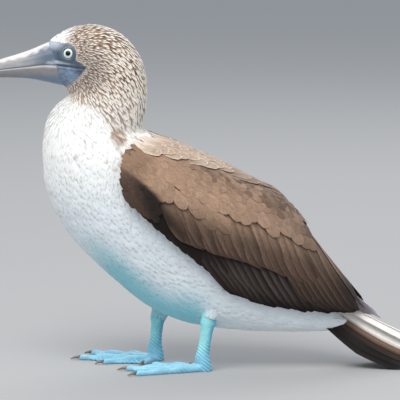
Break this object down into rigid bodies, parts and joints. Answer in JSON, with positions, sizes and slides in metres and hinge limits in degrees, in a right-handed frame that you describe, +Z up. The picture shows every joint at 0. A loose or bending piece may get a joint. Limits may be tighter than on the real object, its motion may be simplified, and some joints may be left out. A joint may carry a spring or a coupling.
{
  "type": "blue-footed booby, standing still model",
  "caption": "Life-size still model of a blue-footed booby standing on both webbed feet, head raised, wings closed and tail folded, as a museum would show it.",
  "frame": {"origin": "bottom centre of the bird's box, on the floor under its two feet", "axes": "+X from the bill towards the tail tip, -Y towards the bird's left side, +Z up"},
  "size_m": [0.5696, 0.1616, 0.3957],
  "materials": {
    "white_plumage": "soft white breast and belly feathers, tinged pale blue below",
    "head_plumage": "cream feathers streaked cinnamon brown",
    "brown_plumage": "brown wing feathers with paler edges",
    "tail_plumage": "white middle tail feathers, brown outer ones",
    "bill_horn": "satin grey-blue horn",
    "face_skin": "bare slate-blue skin of face and throat",
    "eye": "glossy, pale yellow iris and black pupil",
    "leg_skin": "turquoise, finely scaled",
    "foot_skin": "sky-blue, webbed and finely scaled",
    "claw_horn": "dull grey-brown horn"
  },
  "bodies": {
    "root": {"head": "head_plumage", "neck": "head_plumage", "torso": "white_plumage", "thigh_left": "white_plumage", "thigh_right": "white_plumage", "bill_upper": "bill_horn", "bill_lower": "bill_horn", "eye_left": "eye", "eye_right": "eye", "wing_left": "brown_plumage", "wing_right": "brown_plumage", "tail": "tail_plumage", "tarsus_left": "leg_skin", "tarsus_right": "leg_skin", "foot_left": "foot_skin", "foot_right": "foot_skin"}
  },
  "joints": []
}
